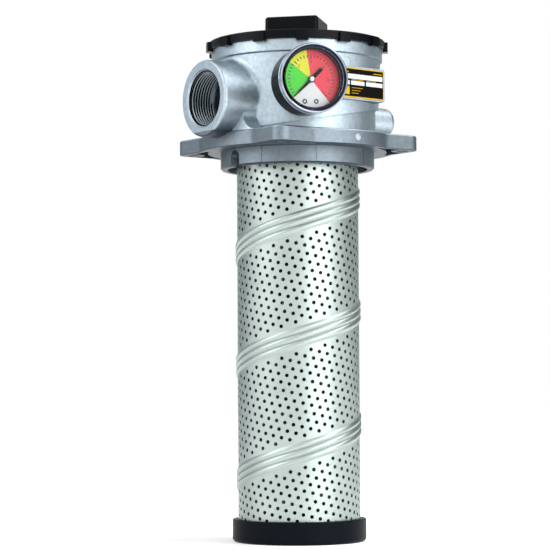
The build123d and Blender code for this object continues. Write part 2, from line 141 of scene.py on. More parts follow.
def coil(name, profile, axis, pitch, turns, steps):
    points = [tuple(c * mm for c in p) for p in profile]
    piece = startPiece(name, points, closedOutline(points))
    winding = piece.modifiers.new("winding", "SCREW")
    winding.axis = axis
    winding.screw_offset = pitch * mm
    winding.iterations = turns
    winding.steps = steps
    winding.render_steps = steps
    bpy.ops.object.modifier_apply(modifier="winding")
    bpy.ops.object.mode_set(mode="EDIT")
    bpy.ops.mesh.select_all(action="SELECT")
    bpy.ops.mesh.fill_holes(sides=len(profile))
    bpy.ops.mesh.select_all(action="SELECT")
    bpy.ops.mesh.normals_make_consistent(inside=False)
    bpy.ops.object.mode_set(mode="OBJECT")
    return piece


def joinAll(name, pieces):
    bpy.ops.object.select_all(action="DESELECT")
    for piece in pieces:
        piece.select_set(True)
    bpy.context.view_layer.objects.active = pieces[0]
    bpy.ops.object.join()
    pieces[0].name = name
    return pieces[0]


def moveMesh(piece, matrix):  # the place goes into the mesh, so the object stays at the origin
    piece.data.transform(matrix)
    piece.data.update()


def finishPiece(piece, body, materials, angle=35):
    onlyThis(piece)
    bpy.ops.object.transform_apply(location=True, rotation=True, scale=True)
    bpy.ops.object.shade_smooth_by_angle(angle=radians(angle))
    if not piece.data.materials:
        for material in materials:
            piece.data.materials.append(material)
    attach(piece, body)
    return piece


# materials, each named for its finish; painted shade and painted reflection are said where they are painted

def dieCastAluminium(name, shadeStart, dark):
    # bare die casting: blue-grey satin, faintly cloudy, with a fine sandy grain
    # the more a face's normal tips down through the given range, the darker its tone, up to the shaded tone:
    # this is painted shade on its undersides
    look = {"light": "#b9c7d0", "deep": "#a3b2bc", "shaded": "#3a434d", "cloud": 3.0, "spread": 0.5,
            "grain": 0.8, "depth": 0.1, "smooth": 0.34, "rough": 0.56}
    material, tree, shader, place = newMaterial(name)
    cloud = addNode(tree, "ShaderNodeTexNoise", {"Scale": perMm(look["cloud"]), "Detail": 6.0,
                    "Roughness": look["spread"]}, {"Vector": place})
    patch = addNode(tree, "ShaderNodeMapRange", {"From Min": 0.3, "From Max": 0.7},
                    {"Value": cloud.outputs["Fac"]})
    tone = addNode(tree, "ShaderNodeMix", {"data_type": "RGBA", 6: hexToLinear(look["deep"]),
                   7: hexToLinear(look["light"])}, {0: patch.outputs["Result"]})
    facing = addNode(tree, "ShaderNodeNewGeometry")
    upright = addNode(tree, "ShaderNodeSeparateXYZ", links={"Vector": facing.outputs["Normal"]})
    under = addNode(tree, "ShaderNodeMapRange", {"From Min": shadeStart, "From Max": dark},
                    {"Value": upright.outputs["Z"]})
    shadedTone = addNode(tree, "ShaderNodeMix", {"data_type": "RGBA", 7: hexToLinear(look["shaded"])},
                   {0: under.outputs["Result"], 6: tone.outputs[2]})
    grain = addNode(tree, "ShaderNodeTexNoise", {"Scale": perMm(look["grain"]), "Detail": 3.0},
                    {"Vector": place})
    rough = addNode(tree, "ShaderNodeMapRange", {"To Min": look["smooth"], "To Max": look["rough"]},
                    {"Value": grain.outputs["Fac"]})
    bump = addNode(tree, "ShaderNodeBump", {"Strength": 0.5, "Distance": look["depth"] * mm},
                   {"Height": grain.outputs["Fac"]})
    shader.inputs["Metallic"].default_value = 1.0
    tree.links.new(shadedTone.outputs[2], shader.inputs["Base Color"])
    tree.links.new(rough.outputs["Result"], shader.inputs["Roughness"])
    tree.links.new(bump.outputs["Normal"], shader.inputs["Normal"])
    return material


def glassFilledNylon():
    # injection-moulded black nylon: dark with a faint blue sheen and a fine moulded grain
    look = {"tone": "#080b11", "grain": 0.5, "depth": 0.02, "smooth": 0.24, "rough": 0.38, "sheen": 0.1}
    material, tree, shader, place = newMaterial("glassFilledNylon")
    grain = addNode(tree, "ShaderNodeTexNoise", {"Scale": perMm(look["grain"]), "Detail": 2.0},
                    {"Vector": place})
    rough = addNode(tree, "ShaderNodeMapRange", {"To Min": look["smooth"], "To Max": look["rough"]},
                    {"Value": grain.outputs["Fac"]})
    soft = addNode(tree, "ShaderNodeBevel", {"samples": 4, "Radius": 0.4 * mm})
    bump = addNode(tree, "ShaderNodeBump", {"Strength": 0.4, "Distance": look["depth"] * mm},
                   {"Height": grain.outputs["Fac"], "Normal": soft.outputs["Normal"]})
    shader.inputs["Base Color"].default_value = hexToLinear(look["tone"])
    shader.inputs["Specular IOR Level"].default_value = look["sheen"]
    tree.links.new(rough.outputs["Result"], shader.inputs["Roughness"])
    tree.links.new(bump.outputs["Normal"], shader.inputs["Normal"])
    return material


def tinnedSheet():
    # tinned steel sheet: bright and smooth, with faint rolling lines round the tube
    look = {"light": "#bac5c2", "deep": "#a2aeab", "cloud": 22.0, "smooth": 0.34, "rough": 0.48, "lines": 0.8}
    material, tree, shader, place = newMaterial("tinnedSheet")
    cloud = addNode(tree, "ShaderNodeTexNoise", {"Scale": perMm(look["cloud"]), "Detail": 5.0},
                    {"Vector": place})
    tone = addNode(tree, "ShaderNodeMix", {"data_type": "RGBA", 6: hexToLinear(look["deep"]),
                   7: hexToLinear(look["light"])}, {0: cloud.outputs["Fac"]})
    flat = addNode(tree, "ShaderNodeMapping", {"Scale": (0.05, 0.05, 1.0)}, {"Vector": place})
    lines = addNode(tree, "ShaderNodeTexNoise", {"Scale": perMm(look["lines"]), "Detail": 2.0},
                    {"Vector": flat.outputs["Vector"]})
    rough = addNode(tree, "ShaderNodeMapRange", {"To Min": look["smooth"], "To Max": look["rough"]},
                    {"Value": lines.outputs["Fac"]})
    bump = addNode(tree, "ShaderNodeBump", {"Strength": 0.3, "Distance": 0.01 * mm},
                   {"Height": lines.outputs["Fac"]})
    shader.inputs["Metallic"].default_value = 1.0
    tree.links.new(tone.outputs[2], shader.inputs["Base Color"])
    tree.links.new(rough.outputs["Result"], shader.inputs["Roughness"])
    tree.links.new(bump.outputs["Normal"], shader.inputs["Normal"])
    return material


def tappedThread(s):
    # a tapped thread in the casting: bright crests over grooves darkened with painted shade
    material, tree, shader, place = newMaterial("tappedThread")
    apart = addNode(tree, "ShaderNodeSeparateXYZ", links={"Vector": place})
    height = addNode(tree, "ShaderNodeMath", {"operation": "SUBTRACT", 1: s["height"] * mm},
                     {0: apart.outputs["Z"]})
    flat = addNode(tree, "ShaderNodeCombineXYZ", links={"X": apart.outputs["Y"], "Y": height.outputs[0]})
    radius = addNode(tree, "ShaderNodeVectorMath", {"operation": "LENGTH"}, {0: flat.outputs["Vector"]})
    # painted shade: the tone darkens from the crests out to the groove roots
    depth = addNode(tree, "ShaderNodeMapRange", {"From Min": s["shadeStartRadius"] * mm,
                    "From Max": s["fullShadeRadius"] * mm}, {"Value": radius.outputs["Value"]})
    tone = addNode(tree, "ShaderNodeMix", {"data_type": "RGBA", 6: hexToLinear(s["crestTone"]),
                   7: hexToLinear(s["grooveShadeTone"])}, {0: depth.outputs["Result"]})
    speck = addNode(tree, "ShaderNodeTexNoise", {"Scale": perMm(0.5), "Detail": 2.0}, {"Vector": place})
    rough = addNode(tree, "ShaderNodeMapRange", {"To Min": 0.3, "To Max": 0.5},
                    {"Value": speck.outputs["Fac"]})
    shader.inputs["Metallic"].default_value = 1.0
    tree.links.new(tone.outputs[2], shader.inputs["Base Color"])
    tree.links.new(rough.outputs["Result"], shader.inputs["Roughness"])
    return material


def grainedFinish(name, tone, metallic, smooth, rough, grain, depth, sheen=0.5):
    # one recipe for the small parts: a plain colour, a fine grain in its gloss and a trace of relief
    material, tree, shader, place = newMaterial(name)
    speck = addNode(tree, "ShaderNodeTexNoise", {"Scale": perMm(grain), "Detail": 3.0}, {"Vector": place})
    gloss = addNode(tree, "ShaderNodeMapRange", {"To Min": smooth, "To Max": rough},
                    {"Value": speck.outputs["Fac"]})
    bump = addNode(tree, "ShaderNodeBump", {"Strength": 0.4, "Distance": depth * mm},
                   {"Height": speck.outputs["Fac"]})
    shader.inputs["Base Color"].default_value = hexToLinear(tone)
    shader.inputs["Metallic"].default_value = metallic
    shader.inputs["Specular IOR Level"].default_value = sheen
    tree.links.new(gloss.outputs["Result"], shader.inputs["Roughness"])
    tree.links.new(bump.outputs["Normal"], shader.inputs["Normal"])
    return material


def floatLens():
    # clear gauge glass: almost nothing but a faint cool reflection
    material, tree, shader, place = newMaterial("floatLens")
    smear = addNode(tree, "ShaderNodeTexNoise", {"Scale": perMm(12), "Detail": 2.0}, {"Vector": place})
    haze = addNode(tree, "ShaderNodeMapRange", {"To Min": 0.02, "To Max": 0.06},
                   {"Value": smear.outputs["Fac"]})
    shader.inputs["Base Color"].default_value = hexToLinear("#f2f6f7")
    shader.inputs["Alpha"].default_value = 0.02
    shader.inputs["Specular IOR Level"].default_value = 0.12
    tree.links.new(haze.outputs["Result"], shader.inputs["Roughness"])
    return material


finishes = {
    # both castings carry painted shade by the tilt of their faces; the flange's copy starts at faces just off
    # upright, so its sides are darker too
    "castHead": dieCastAluminium("dieCastAluminium", -0.3, -0.9),
    "castFlange": dieCastAluminium("dieCastFlangeAluminiumShaded", 0.85, -0.55),
    "nylon": glassFilledNylon(),
    "tin": tinnedSheet(),
    "lens": floatLens(),
    "rubber": grainedFinish("nitrileRubber", "#1b1b1c", 0.0, 0.45, 0.6, 0.4, 0.01),
    "cap": grainedFinish("mouldedPolyamide", "#0b1118", 0.0, 0.33, 0.5, 0.6, 0.02, 0.06),
    "wire": grainedFinish("drawnSpringWire", "#9a9ca0", 1.0, 0.25, 0.4, 0.3, 0.005),
    # the media's mid grey is darker than its own light grey: painted shade for the sleeve's inside seen
    # through its holes
    "paper": grainedFinish("glassFibreMedia", "#8b918f", 0.0, 0.7, 0.9, 0.25, 0.03),
    "turned": grainedFinish("turnedSteel", "#a3a5a8", 1.0, 0.2, 0.35, 0.2, 0.004),
    "enamel": grainedFinish("blackEnamel", "#060608", 0.0, 0.12, 0.22, 1.5, 0.01, 0.03),
    "brass": grainedFinish("turnedBrass", "#c2a25c", 1.0, 0.2, 0.35, 0.2, 0.004),
    "chrome": grainedFinish("brightChrome", "#a4abb8", 1.0, 0.05, 0.10, 6.0, 0.004),
    # painted reflection: chrome darkened for the bezel's inner slope
    "chromePaintedReflection": grainedFinish("chromePaintedReflection", "#20283a", 1.0, 0.08, 0.14, 6.0, 0.004),
    "ringBlack": grainedFinish("glossStyrene", "#06070d", 0.0, 0.10, 0.18, 2.0, 0.004, 0.1),
    "dialWhite": grainedFinish("dialEnamelWhite", "#eef2f5", 0.0, 0.4, 0.5, 0.6, 0.004),
    "dialGreen": grainedFinish("dialEnamelGreen", "#36dc00", 0.0, 0.4, 0.5, 0.6, 0.004),
    "dialYellow": grainedFinish("dialEnamelYellow", "#ecec00", 0.0, 0.4, 0.5, 0.6, 0.004),
    "dialRed": grainedFinish("dialEnamelRed", "#f22e46", 0.0, 0.4, 0.5, 0.6, 0.004),
    "printBlack": grainedFinish("printedFoilBlack", "#0a0a09", 0.0, 0.3, 0.4, 0.5, 0.004, 0.06),
    "printYellow": grainedFinish("printedFoilYellow", "#dcae0c", 0.0, 0.3, 0.4, 0.5, 0.004, 0.15),
    "printWhite": grainedFinish("printedFoilWhite", "#dfe5ea", 0.0, 0.3, 0.4, 0.5, 0.004),
    "markGrey": grainedFinish("dialInk", "#1c2622", 0.0, 0.4, 0.5, 0.3, 0.002),
}

carried = {  # CAD nodes that keep their own shape
    "head": "castHead", "mounting_flange": "castFlange", "inlet_neck": "castHead", "cover": "nylon",
    "cover_seal": "rubber", "element_top_cap": "cap", "element_seal": "rubber", "pleated_media": "paper",
    "bottom_cap": "cap", "bypass_bridge": "turned", "bypass_poppet": "turned", "bypass_retainer": "turned",
    "gauge_case": "enamel", "gauge_stem": "brass", "gauge_washer": "rubber", "gauge_ring": "ringBlack",
    "gauge_lens": "lens", "gauge_arbor": "turned", "gauge_pointer": "enamel",
}
for node, finish in carried.items():
    slots = nodes[node].data.materials
    slots.clear()
    slots.append(finishes[finish])
print("materials done:", len(finishes))


# perforated sleeve with its spiral lock seam

sleeveSet = {
    "radius": 46.8, "wall": 0.6, "pitch": 86.5, "seamAngle": 323.0, "seamHeight": -121.3,
    "top": 9.9, "bottom": -290.9, "bandWidth": 16.2, "bandLift": 0.15, "ridgeSpacing": 5.0,
    "ridgeWidth": 4.9, "ridgeHeight": 1.2, "ridgeShape": 0.8, "bandSteps": 40, "bandOverlap": 0.4,
    "holeRadius": 1.45, "holeSides": 14, "tileWidth": 5.77, "tileHeight": 6.66, "holesAcross": 10,
}


def holeTile(s, height, holed):
    # a rectangle of sheet, with its hole, whose outline has a corner or a middle at every half side
    halfWidth, halfHeight = s["tileWidth"] / 2 * mm, height / 2 * mm
    outline = [(x * halfWidth, y * halfHeight, 0) for x, y in
               ((1, 0), (1, 1), (0, 1), (-1, 1), (-1, 0), (-1, -1), (0, -1), (1, -1))]
    if not holed:
        outline = [p for p in outline if p[1]]
        return startPiece("tile", outline, faces=[tuple(range(len(outline)))])
    piece = startPiece("tile", outline, closedOutline(outline))
    bpy.ops.object.mode_set(mode="EDIT")
    bpy.ops.mesh.primitive_circle_add(vertices=s["holeSides"], radius=s["holeRadius"] * mm)
    bpy.ops.mesh.select_all(action="SELECT")
    bpy.ops.mesh.bridge_edge_loops()
    bpy.ops.object.mode_set(mode="OBJECT")
    return piece


def repeatPiece(piece, step, count):
    onlyThis(piece)
    rows = piece.modifiers.new("rows", "ARRAY")
    rows.use_relative_offset = False
    rows.use_constant_offset = True
    rows.constant_offset_displace = [c * mm for c in step]
    rows.count = count
    bpy.ops.object.modifier_apply(modifier="rows")
    return piece


def flatGrid(lowU, lowV, width, height, stepsU, stepsV):
    bpy.ops.mesh.primitive_grid_add(x_subdivisions=stepsU, y_subdivisions=stepsV, size=1)
    piece = bpy.context.object
    place = Matrix.Translation(((lowU + width / 2) * mm, (lowV + height / 2) * mm, 0))
    moveMesh(piece, place @ Matrix.Diagonal((width * mm, height * mm, 1, 1)))
    return piece


def wrapOnTube(piece, s, tilt):
    # x runs along the strip, y across it and z is the height over the tube's surface
    start = radians(s["seamAngle"])
    radius = s["radius"] * mm
    for vertex in piece.data.vertices:
        along, across, lift = vertex.co
        turn = start + (along * cos(tilt) - across * sin(tilt)) / radius
        height = s["seamHeight"] * mm + along * sin(tilt) + across * cos(tilt)
        vertex.co = ((radius + lift) * cos(turn), (radius + lift) * sin(turn), height)


def ridgeLift(s, across):
    lift = s["bandLift"]
    for middle in (-s["ridgeSpacing"], 0, s["ridgeSpacing"]):
        off = abs(across - middle) / (s["ridgeWidth"] / 2)
        if off < 1:
            lift += s["ridgeHeight"] * cos(off * pi / 2) ** s["ridgeShape"]
    return lift


def cutEnds(piece, s, wall):
    onlyThis(piece)
    bpy.ops.object.mode_set(mode="EDIT")
    for height, side in ((s["top"], "outer"), (s["bottom"], "inner")):
        bpy.ops.mesh.select_all(action="SELECT")
        bpy.ops.mesh.bisect(plane_co=(0, 0, height * mm), plane_no=(0, 0, 1),
                            clear_inner=side == "inner", clear_outer=side == "outer")
    bpy.ops.object.mode_set(mode="OBJECT")
    shell = piece.modifiers.new("wall", "SOLIDIFY")
    shell.thickness = wall * mm
    shell.offset = -1
    shell.use_even_offset = False
    bpy.ops.object.modifier_apply(modifier="wall")


def perforatedSleeve(s):
    around = 2 * pi * s["radius"]
    tilt = atan2(s["pitch"], around)
    stripWidth = s["pitch"] * cos(tilt)
    halfBand = s["bandWidth"] / 2
    field = s["holesAcross"] * s["tileHeight"]
    margin = (stripWidth - 2 * halfBand - field) / 2
    firstRow = halfBand + margin
    start = (s["bottom"] - s["seamHeight"] - stripWidth * cos(tilt)) / sin(tilt)
    end = (s["top"] - s["seamHeight"]) / sin(tilt)
    pairs = int((end - start) / (2 * s["tileWidth"])) + 2
    columns = 2 * pairs

    even = holeTile(s, s["tileHeight"], True)
    moveMesh(even, Matrix.Translation((start * mm, (firstRow + s["tileHeight"] / 2) * mm, 0)))
    repeatPiece(even, (0, s["tileHeight"], 0), s["holesAcross"])
    odd = holeTile(s, s["tileHeight"], True)
    moveMesh(odd, Matrix.Translation(((start + s["tileWidth"]) * mm, (firstRow + s["tileHeight"]) * mm, 0)))
    repeatPiece(odd, (0, s["tileHeight"], 0), s["holesAcross"] - 1)
    blank = holeTile(s, s["tileHeight"] / 2, False)
    moveMesh(blank, Matrix.Translation(((start + s["tileWidth"]) * mm,
                                        (firstRow + s["tileHeight"] / 4) * mm, 0)))
    repeatPiece(blank, (0, field - s["tileHeight"] / 2, 0), 2)
    strip = joinAll("sleeve_perforated", [even, odd, blank])
    repeatPiece(strip, (2 * s["tileWidth"], 0, 0), pairs)
    edges = [flatGrid(start - s["tileWidth"] / 2, low, columns * s["tileWidth"], margin, 2 * columns, 1)
             for low in (halfBand, firstRow + field)]
    strip = joinAll("sleeve_perforated", [strip, *edges])
    bpy.ops.object.mode_set(mode="EDIT")
    bpy.ops.mesh.select_all(action="SELECT")
    bpy.ops.mesh.remove_doubles(threshold=0.02 * mm)
    bpy.ops.object.mode_set(mode="OBJECT")
    wrapOnTube(strip, s, tilt)
    bpy.ops.object.mode_set(mode="EDIT")
    bpy.ops.mesh.select_all(action="SELECT")
    bpy.ops.mesh.normals_make_consistent(inside=False)
    bpy.ops.object.mode_set(mode="OBJECT")
    middle = strip.data.polygons[0]
    if middle.normal.dot(Vector((middle.center.x, middle.center.y, 0))) < 0:
        strip.data.flip_normals()
    cutEnds(strip, s, s["wall"])

    band = flatGrid(start, -halfBand - s["bandOverlap"], columns * s["tileWidth"],
                    s["bandWidth"] + 2 * s["bandOverlap"], 2 * columns, s["bandSteps"])
    for vertex in band.data.vertices:
        vertex.co.z = ridgeLift(s, vertex.co.y / mm) * mm
    wrapOnTube(band, s, tilt)
    cutEnds(band, s, s["wall"] + s["bandLift"])
    sleeve = joinAll("sleeve_perforated", [strip, band])
    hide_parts("sleeve")
    return finishPiece(sleeve, "housing", [finishes["tin"]], 30)


sleeve = perforatedSleeve(sleeveSet)
print("sleeve done:", len(sleeve.data.polygons), "faces")


# thread in the inlet port

threadSet = {"face": -88.0, "height": 36.3, "wallRadius": 21.0, "depth": 1.48, "pitch": 2.309,
             "turns": 10, "steps": 72, "crest": 0.16, "lead": -0.6, "chamfer": 1.2, "gap": 0.02,
             "rootShare": 0.49,
             # the groove tone and the two radii set the painted shade in the grooves
             "crestTone": "#8b979e", "grooveShadeTone": "#07090b", "shadeStartRadius": 19.6, "fullShadeRadius": 20.3}


def inletThread(s):
    root = s["pitch"] * s["rootShare"]
    first = s["face"] + s["lead"]
    inner = s["wallRadius"] - s["depth"]
    profile = [(first - root, s["wallRadius"], 0), (first - s["crest"], inner, 0),
               (first + s["crest"], inner, 0), (first + root, s["wallRadius"], 0)]
    thread = coil("inlet_thread", profile, "X", s["pitch"], s["turns"], s["steps"])
    mouth = (s["face"] + s["gap"]) * mm
    for vertex in thread.data.vertices:
        # where the port's mouth is chamfered, the crests run out into it
        vertex.co.x = max(vertex.co.x, mouth)
        cone = (s["wallRadius"] + s["chamfer"]) * mm - (vertex.co.x - s["face"] * mm)
        radius = hypot(vertex.co.y, vertex.co.z)
        if radius < cone:
            vertex.co.y *= cone / radius
            vertex.co.z *= cone / radius
    bpy.ops.object.mode_set(mode="EDIT")
    bpy.ops.mesh.select_all(action="SELECT")
    bpy.ops.mesh.remove_doubles(threshold=0.005 * mm)
    bpy.ops.mesh.delete_loose(use_verts=True, use_edges=True, use_faces=False)
    bpy.ops.object.mode_set(mode="OBJECT")
    moveMesh(thread, Matrix.Translation((0, 0, s["height"] * mm)))
    return finishPiece(thread, "housing", [tappedThread(s)], 40)


inletThread(threadSet)
print("thread done")


# springs of round wire

holdSet = {"name": "hold_spring_wire", "node": "hold_down_spring", "radius": 35.0, "wire": 1.45,
           "turns": 4, "steps": 48}
bypassSet = {"name": "bypass_spring_wire", "node": "bypass_spring", "radius": 7.5, "wire": 0.88,
             "turns": 4, "steps": 36, "joint": "bypass_open", "travel": 5.0}


def wireSpring(s):
    low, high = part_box(s["node"])
    bottom = low.z / mm + s["wire"]
    rise = (high.z - low.z) / mm - 2 * s["wire"]
    profile = [(s["radius"] + s["wire"] * cos(k * pi / 5), 0, bottom + s["wire"] * sin(k * pi / 5))
               for k in range(10)]
    spring = coil(s["name"], profile, "Z", rise / s["turns"], s["turns"], s["steps"])
    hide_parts(s["node"])
    finishPiece(spring, "housing", [finishes["wire"]])
    if "joint" in s:
        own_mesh(spring)


for settings in (holdSet, bypassSet):
    wireSpring(settings)
print("springs done")


# clogging gauge, made facing up and then set on its axis

swing = next(j for j in frame["joints"] if j["name"] == "pointer_swing")
gaugeOut = -Vector(swing["axis"]).normalized()
gaugeRight = Vector((-gaugeOut.y, gaugeOut.x, 0))
gaugeTurn = Matrix((gaugeRight, (0, 0, 1), gaugeOut)).transposed().to_4x4()
gaugePlace = Matrix.Translation(swing["pos_m"]) @ gaugeTurn

bezelSet = {
    "profile": [(25.05, 22.2), (25.8, 22.2), (26.0, 22.45), (26.0, 23.3), (25.75, 23.6), (25.75, 24.1),
                (26.0, 24.5), (26.0, 27.4), (25.93, 28.1), (25.75, 28.6), (25.45, 28.9), (25.1, 29.0),
                (24.8, 28.9), (24.6, 28.7), (22.7, 27.75), (22.6, 27.6), (24.0, 27.6), (24.0, 25.9),
                (25.05, 24.4)],
    "steps": 128, "slopeLow": 27.7, "slopeRadius": 24.65,
}
dialSet = {
    "face": 20.0, "thickness": 0.8, "radius": 22.4, "bore": 1.4, "steps": 240,
    "sectors": [("dialGreen", 142.5, 225.0), ("dialYellow", 99.0, 142.5), ("dialRed", -49.5, 99.0)],
    "scaleStart": 225.0, "scaleSweep": 270.0, "marks": 31, "longEvery": 5, "markRadius": 18.2,
    "shortMark": 2.0, "longMark": 2.8, "markWidth": 0.75, "numberRadius": 13.2, "numberSize": 3.4,
    "dots": [(-4.9, -16.4, 1.9), (3.9, -16.2, 1.9)], "dotBore": 0.8, "inkLift": 0.03,
}
hubSet = {
    "profile": [(1.05, 21.75), (2.1, 21.75), (2.1, 22.6), (1.9, 22.95), (1.5, 23.15), (1.05, 23.2)],
    "steps": 48,
}


def chromeBezel(s):
    # the inner slope's darker chrome is a painted reflection of the dark room that it would mirror
    bezel = lathe("gauge_bezel_rolled", s["profile"], s["steps"])
    for name in ("chrome", "chromePaintedReflection"):
        bezel.data.materials.append(finishes[name])
    for face in bezel.data.polygons:
        x, y, z = face.center / mm
        face.material_index = int(z > s["slopeLow"] and hypot(x, y) < s["slopeRadius"])
    moveMesh(bezel, gaugePlace)
    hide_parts("gauge_bezel")
    return finishPiece(bezel, "housing", [], 30)


def sectorDial(s):
    back = s["face"] - s["thickness"]
    dial = lathe("gauge_dial_face", [(s["bore"], back), (s["radius"], back), (s["radius"], s["face"]),
                                     (s["bore"], s["face"])], s["steps"])
    for name in ("dialWhite", "dialGreen", "dialYellow", "dialRed"):
        dial.data.materials.append(finishes[name])
    for face in dial.data.polygons:
        turn = (degrees(atan2(face.center.y, face.center.x)) + 135) % 360 - 135
        for index, (name, low, high) in enumerate(s["sectors"], 1):
            if face.normal.z > 0.9 and low < turn < high:
                face.material_index = index
    moveMesh(dial, gaugePlace)
    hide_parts("gauge_dial")
    return finishPiece(dial, "housing", [])


def scaleMark(s, turn, length):
    bpy.ops.mesh.primitive_cube_add(size=1)
    mark = bpy.context.object
    middle = s["markRadius"] - length / 2
    size = Matrix.Diagonal((length * mm, s["markWidth"] * mm, 2 * s["inkLift"] * mm, 1))
    spot = Matrix.Translation((middle * mm, 0, s["face"] * mm))
    moveMesh(mark, Matrix.Rotation(turn, 4, "Z") @ spot @ size)
    return mark


def scaleNumber(s, turn, text):
    bpy.ops.object.text_add()
    number = bpy.context.object
    number.data.body = text
    number.data.size = s["numberSize"] * mm
    number.data.align_x = "CENTER"
    number.data.align_y = "CENTER"
    number.data.extrude = s["inkLift"] * mm
    bpy.ops.object.convert(target="MESH")
    spot = (s["numberRadius"] * cos(turn) * mm, s["numberRadius"] * sin(turn) * mm, s["face"] * mm)
    moveMesh(number, Matrix.Translation(spot))
    return number


def scaleDot(s, across, up, size):
    low, high = s["face"] - s["inkLift"], s["face"] + s["inkLift"]
    dot = lathe("gauge_dial_dot", [(s["dotBore"], low), (size, low), (size, high), (s["dotBore"], high)], 32)
    moveMesh(dot, Matrix.Translation((across * mm, up * mm, 0)))
    return dot


def dialScale(s):
    pieces = [scaleDot(s, *dot) for dot in s["dots"]]
    for k in range(s["marks"]):
        turn = radians(s["scaleStart"] - s["scaleSweep"] * k / (s["marks"] - 1))
        isLong = k % s["longEvery"] == 0
        pieces.append(scaleMark(s, turn, s["longMark"] if isLong else s["shortMark"]))
        if isLong:
            pieces.append(scaleNumber(s, turn, str(k // s["longEvery"])))
    scale = joinAll("gauge_dial_scale", pieces)
    moveMesh(scale, gaugePlace)
    return finishPiece(scale, "housing", [finishes["markGrey"]])


def roundHub(s):
    hub = lathe("pointer_hub_cap", s["profile"], s["steps"])
    moveMesh(hub, gaugePlace)
    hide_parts("pointer_hub")
    return finishPiece(hub, "pointer", [finishes["chrome"]])


chromeBezel(bezelSet)
sectorDial(dialSet)
dialScale(dialSet)
roundHub(hubSet)
print("gauge done")


# name plate: fields of colour and plain bars, with no words

plateSet = {
    "facing": 273.0, "distance": 66.2, "shift": 8.0, "middle": 47.5, "width": 44.0, "height": 22.3,
    "thickness": 0.5, "corner": 1.2, "ink": 0.05,
    "yellow": [(-22, 22, 10.4, 11.15), (-22, 22, -11.15, -10.3), (-22, -21.3, -10.3, 10.4),
               (21.3, 22, -10.3, 10.4), (-19.5, -12.6, -9.0, -2.8)],
    "white": [(-20, 20.6, 3.0, 6.6), (-20, -12.4, -1.6, 1.5), (-11.0, 2.4, -1.6, 1.5),
              (4.0, 20.6, -1.6, 1.5)],
    "bars": [(11.5, 20.0, 8.2, 0.5), (-18.5, -13.0, 8.2, 0.5), (-10.6, -4.6, 2.25, 0.45),
             (-3.8, 1.0, 2.25, 0.45), (4.2, 8.6, 2.25, 0.45), (9.4, 14.0, 2.25, 0.45),
             (-10.4, 0.6, -3.8, 0.35), (-10.4, -1.6, -5.8, 0.35), (-10.4, -3.4, -7.8, 0.35)],
}


def inkField(s, left, right, low, high):
    bpy.ops.mesh.primitive_cube_add(size=1)
    field = bpy.context.object
    size = Matrix.Diagonal(((right - left) * mm, (high - low) * mm, s["ink"] * mm, 1))
    middle = ((left + right) / 2 * mm, (low + high) / 2 * mm, s["thickness"] * mm)
    moveMesh(field, Matrix.Translation(middle) @ size)
    return field


def printedPlate(s):
    bpy.ops.mesh.primitive_cube_add(size=1)
    base = bpy.context.object
    size = Matrix.Diagonal((s["width"] * mm, s["height"] * mm, s["thickness"] * mm, 1))
    moveMesh(base, Matrix.Translation((0, 0, s["thickness"] / 2 * mm)) @ size)
    bpy.ops.object.mode_set(mode="EDIT")
    bpy.ops.mesh.select_mode(type="EDGE")
    bpy.ops.mesh.select_all(action="DESELECT")
    mesh = bmesh.from_edit_mesh(base.data)
    for edge in mesh.edges:
        edge.select = abs(edge.verts[0].co.z - edge.verts[1].co.z) > 0.1 * mm
    bmesh.update_edit_mesh(base.data)
    bpy.ops.mesh.bevel(offset=s["corner"] * mm, segments=6)
    bpy.ops.object.mode_set(mode="OBJECT")
    base.data.materials.append(finishes["printBlack"])
    groups = [("printYellow", [inkField(s, *f) for f in s["yellow"]]),
              ("printWhite", [inkField(s, *f) for f in s["white"]]),
              ("printYellow", [inkField(s, a, b, y - h / 2, y + h / 2) for a, b, y, h in s["bars"]])]
    for name, fields in groups:
        for field in fields:
            field.data.materials.append(finishes[name])
    plate = joinAll("name_plate_print", [base, *[f for g in groups for f in g[1]]])
    turn = radians(s["facing"])
    out = Vector((cos(turn), sin(turn), 0))
    right = Vector((-out.y, out.x, 0))
    spot = (out * s["distance"] + right * s["shift"] + Vector((0, 0, s["middle"]))) * mm
    moveMesh(plate, Matrix.Translation(spot) @ Matrix((right, (0, 0, 1), out)).transposed().to_4x4())
    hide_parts("name_plate")
    return finishPiece(plate, "housing", [])


printedPlate(plateSet)
print("name plate done")


# blank round casting marks, on the flange's edge and beside the gauge

markSet = [{"turn": 270.0, "radius": 75.5, "height": 5.6, "size": 2.5},
           {"turn": 268.4, "radius": 64.3, "height": 63.5, "size": 4.3}]


def castMark(s):
    size = s["size"]
    mark = lathe("cast_mark", [(0, -1), (size, -1), (size, 0.15), (size - 0.3, 0.3), (size - 0.7, 0.3),
                               (size - 0.9, 0.12), (0, 0.12)], 40)
    turn = radians(s["turn"])
    out = Vector((cos(turn), sin(turn), 0))
    right = Vector((-out.y, out.x, 0))
    spot = (out * s["radius"] + Vector((0, 0, s["height"]))) * mm
    moveMesh(mark, Matrix.Translation(spot) @ Matrix((right, (0, 0, 1), out)).transposed().to_4x4())
    return mark


castMarks = joinAll("cast_marks", [castMark(s) for s in markSet])
finishPiece(castMarks, "housing", [finishes["castHead"]])
print("casting marks done")


# studio: pale floor, soft lamps, dark cards for the metal to reflect, and the camera

